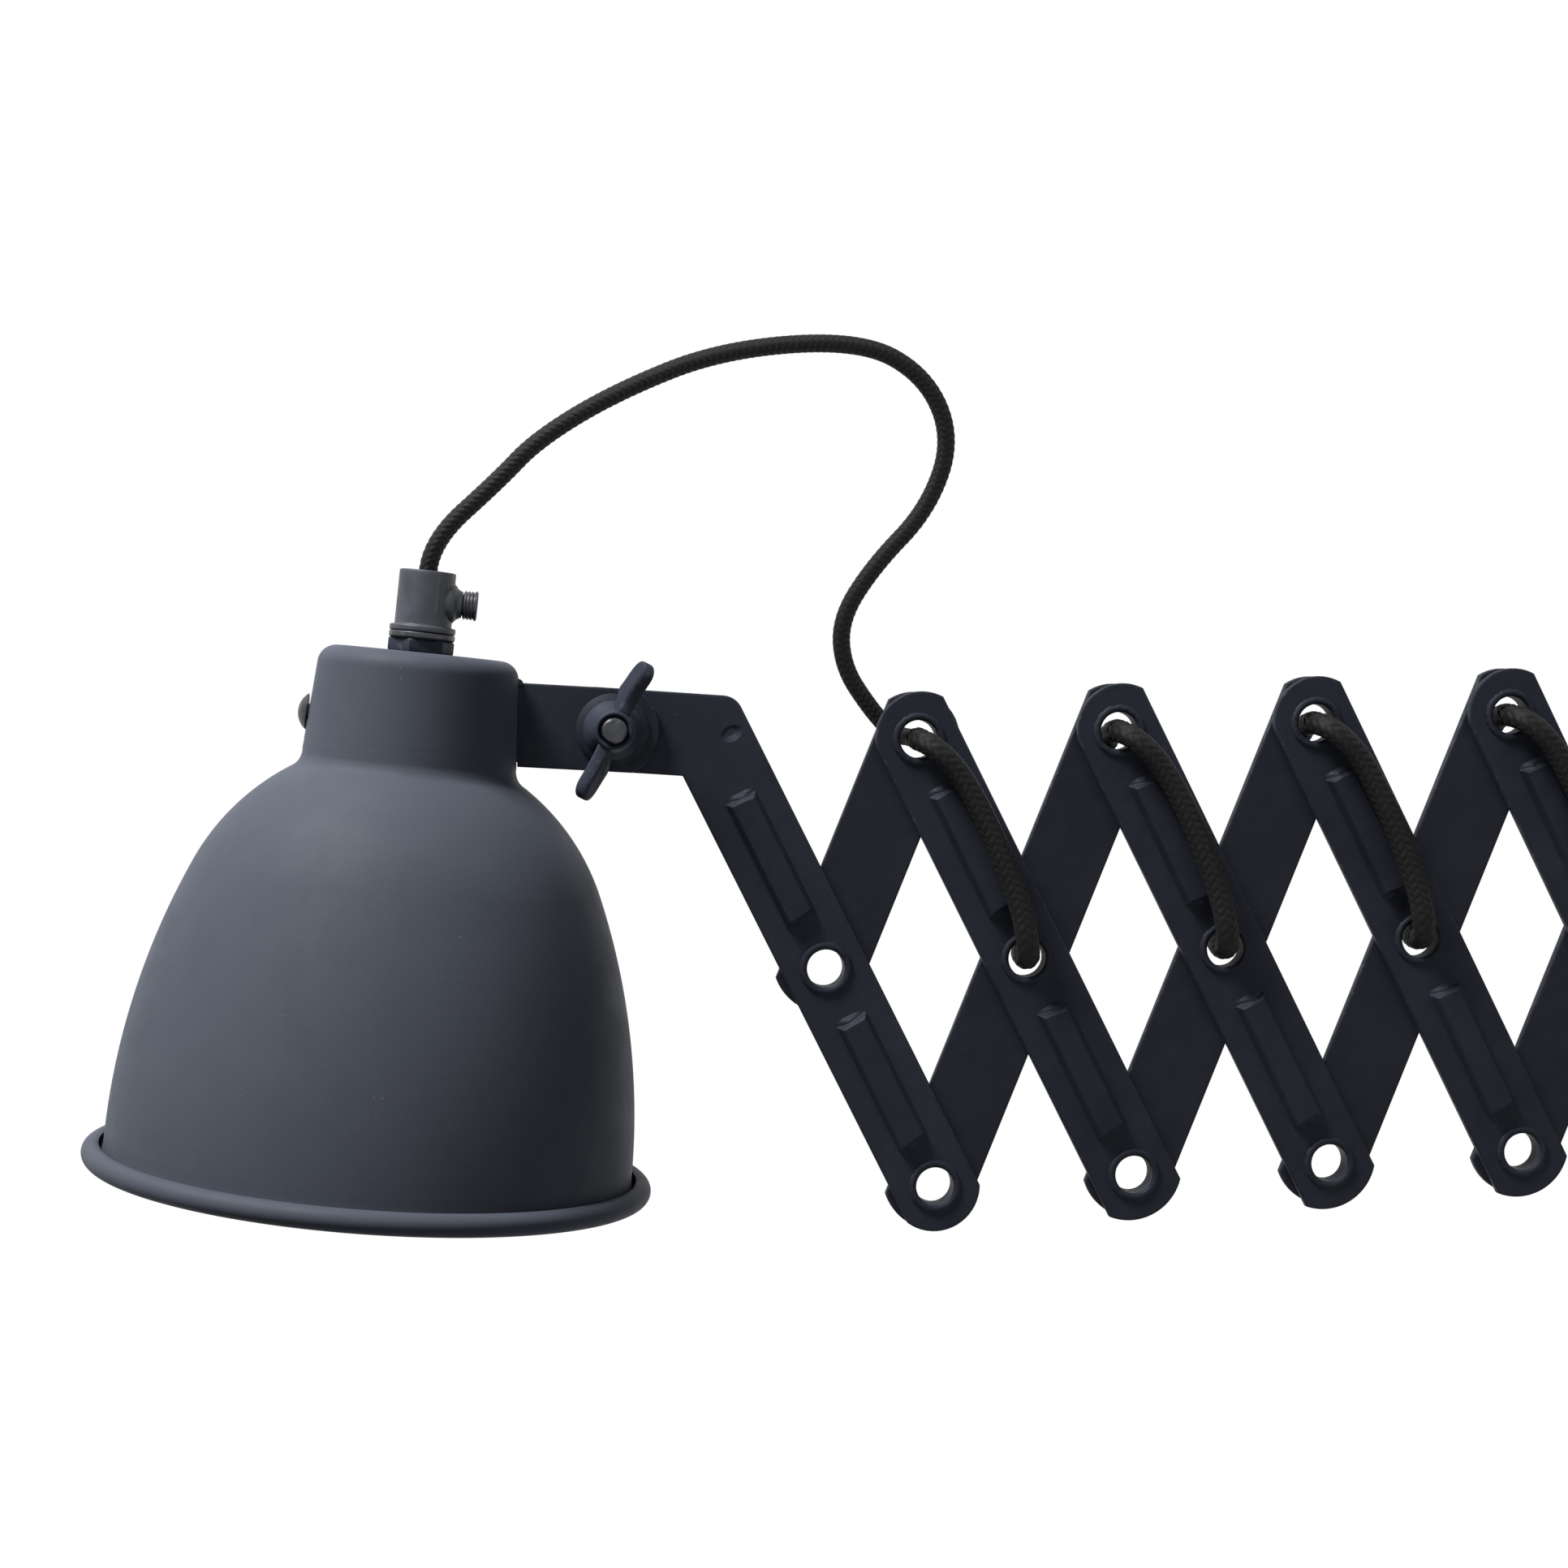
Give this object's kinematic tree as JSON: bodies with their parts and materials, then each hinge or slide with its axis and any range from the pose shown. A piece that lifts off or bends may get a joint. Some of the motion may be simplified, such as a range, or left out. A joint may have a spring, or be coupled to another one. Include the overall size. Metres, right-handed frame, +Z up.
{
  "type": "accordion wall lamp",
  "caption": "Wall lamp on an extending scissor arm of flat bars, with a tilting spun metal shade and a textile cord laced through the pivots.",
  "frame": {"origin": "centre of the wall plate's back face, where it meets the wall", "axes": "+X out of the plate's back into the wall, +Z up; the arm reaches along -X and the front bars face -Y"},
  "size_m": [0.5716, 0.1675, 0.3066],
  "materials": {
    "charcoal_paint": "matte charcoal paint with fine speckle and light scratches",
    "black_hardware": "dark blackened steel, satin",
    "grip_plastic": "black moulded cord grip, satin",
    "black_braid": "coarse black textile braid",
    "holder_black": "black moulded lamp holder",
    "shell_brass": "thin drawn brass, satin",
    "grommet_rubber": "matte black rubber"
  },
  "bodies": {
    "wall_bracket": {"wall_plate": "charcoal_paint", "upper_ear": "charcoal_paint", "lower_ear": "charcoal_paint", "guide_rod": "black_hardware", "rod_nuts": "black_hardware", "cable_grommet": "grommet_rubber", "stop_collars": "black_hardware", "wall_cord": "black_braid"},
    "upper_carrier": {"upper_sleeve": "charcoal_paint", "upper_lug": "charcoal_paint", "upper_eyelet": "charcoal_paint"},
    "lower_carrier": {"lower_sleeve": "charcoal_paint", "lower_lug": "charcoal_paint"},
    "lamp_head": {"shade": "charcoal_paint", "tilt_lug": "charcoal_paint", "cap_nut": "black_hardware", "grip_washer": "grip_plastic", "cord_grip": "grip_plastic", "grip_screw": "black_hardware", "threaded_nipple": "black_hardware", "holder_cap": "holder_black", "holder_body": "holder_black", "screw_shell": "shell_brass", "centre_contact": "shell_brass", "inner_lead": "black_braid", "neck_screw": "black_hardware", "neck_screw_nut": "black_hardware", "clamp_washer": "black_hardware", "loop_cord_head": "black_braid"},
    "wing_nut_body": {"wing_nut": "black_hardware"},
    "front_arm_0": {"bent_arm": "charcoal_paint", "bar_strips_0": "charcoal_paint", "eyelets_0": "charcoal_paint", "clamp_bolt": "black_hardware", "loop_cord_arm": "black_braid"},
    "back_arm_0": {"back_bar_0": "charcoal_paint"},
    "front_arm_1": {"front_bar_1": "charcoal_paint", "bar_strips_1": "charcoal_paint", "eyelets_1": "charcoal_paint", "front_lace_1": "black_braid"},
    "back_arm_1": {"back_bar_1": "charcoal_paint", "back_lace_1": "black_braid"},
    "front_arm_2": {"front_bar_2": "charcoal_paint", "bar_strips_2": "charcoal_paint", "eyelets_2": "charcoal_paint", "front_lace_2": "black_braid"},
    "back_arm_2": {"back_bar_2": "charcoal_paint", "back_lace_2": "black_braid"},
    "front_arm_3": {"front_bar_3": "charcoal_paint", "bar_strips_3": "charcoal_paint", "eyelets_3": "charcoal_paint", "front_lace_3": "black_braid"},
    "back_arm_3": {"back_bar_3": "charcoal_paint", "back_lace_3": "black_braid"},
    "front_arm_4": {"front_bar_4": "charcoal_paint", "bar_strips_4": "charcoal_paint", "eyelets_4": "charcoal_paint", "front_lace_4": "black_braid"},
    "back_arm_4": {"back_bar_4": "charcoal_paint", "back_lace_4": "black_braid"}
  },
  "joints": [
    {"name": "arm_swivel", "type": "hinge", "parent": "wall_bracket", "child": "upper_carrier", "pos_m": [-0.045, 0, 0.0683], "axis": [0, 0, 1], "range_deg": [-75, 75], "deforming": ["wall_cord"]},
    {"name": "arm_extend", "type": "hinge", "parent": "upper_carrier", "child": "back_arm_4", "pos_m": [-0.071, 0, 0.0683], "axis": [0, 1, 0], "range_deg": [-13, 35]},
    {"name": "middle_pivot_4", "type": "hinge", "parent": "back_arm_4", "child": "front_arm_4", "pos_m": [-0.10198, 0, 0], "axis": [0, 1, 0], "range_deg": [-70, 26]},
    {"name": "upper_pivot_4", "type": "hinge", "parent": "front_arm_4", "child": "back_arm_3", "pos_m": [-0.13297, 0, 0.0683], "axis": [0, 1, 0], "range_deg": [-26, 70]},
    {"name": "middle_pivot_3", "type": "hinge", "parent": "back_arm_3", "child": "front_arm_3", "pos_m": [-0.16395, 0, 0], "axis": [0, 1, 0], "range_deg": [-70, 26]},
    {"name": "upper_pivot_3", "type": "hinge", "parent": "front_arm_3", "child": "back_arm_2", "pos_m": [-0.19493, 0, 0.0683], "axis": [0, 1, 0], "range_deg": [-26, 70]},
    {"name": "middle_pivot_2", "type": "hinge", "parent": "back_arm_2", "child": "front_arm_2", "pos_m": [-0.22591, 0, 0], "axis": [0, 1, 0], "range_deg": [-70, 26]},
    {"name": "upper_pivot_2", "type": "hinge", "parent": "front_arm_2", "child": "back_arm_1", "pos_m": [-0.2569, 0, 0.0683], "axis": [0, 1, 0], "range_deg": [-26, 70]},
    {"name": "middle_pivot_1", "type": "hinge", "parent": "back_arm_1", "child": "front_arm_1", "pos_m": [-0.28788, 0, 0], "axis": [0, 1, 0], "range_deg": [-70, 26]},
    {"name": "upper_pivot_1", "type": "hinge", "parent": "front_arm_1", "child": "back_arm_0", "pos_m": [-0.31886, 0, 0.0683], "axis": [0, 1, 0], "range_deg": [-26, 70]},
    {"name": "middle_pivot_0", "type": "hinge", "parent": "back_arm_0", "child": "front_arm_0", "pos_m": [-0.34985, 0, 0], "axis": [0, 1, 0], "range_deg": [-70, 26], "deforming": ["loop_cord_arm"]},
    {"name": "lower_pivot_4", "type": "hinge", "parent": "front_arm_4", "child": "lower_carrier", "pos_m": [-0.071, 0, -0.0683], "axis": [0, 1, 0], "range_deg": [-13, 35]},
    {"name": "head_tilt", "type": "hinge", "parent": "front_arm_0", "child": "lamp_head", "pos_m": [-0.41154, 0, 0.07483], "axis": [0, 1, 0], "range_deg": [-20, 90], "deforming": ["loop_cord_head"]},
    {"name": "wing_nut_turn", "type": "hinge", "parent": "front_arm_0", "child": "wing_nut_body", "pos_m": [-0.41154, 0, 0.07483], "axis": [0, -1, 0], "range_deg": [0, 360]}
  ],
  "couplings": [
    {"joint": "middle_pivot_4", "follows": "arm_extend", "ratio": -2},
    {"joint": "upper_pivot_4", "follows": "arm_extend", "ratio": 2},
    {"joint": "middle_pivot_3", "follows": "arm_extend", "ratio": -2},
    {"joint": "upper_pivot_3", "follows": "arm_extend", "ratio": 2},
    {"joint": "middle_pivot_2", "follows": "arm_extend", "ratio": -2},
    {"joint": "upper_pivot_2", "follows": "arm_extend", "ratio": 2},
    {"joint": "middle_pivot_1", "follows": "arm_extend", "ratio": -2},
    {"joint": "upper_pivot_1", "follows": "arm_extend", "ratio": 2},
    {"joint": "middle_pivot_0", "follows": "arm_extend", "ratio": -2},
    {"joint": "lower_pivot_4", "follows": "arm_extend", "ratio": 1}
  ]
}
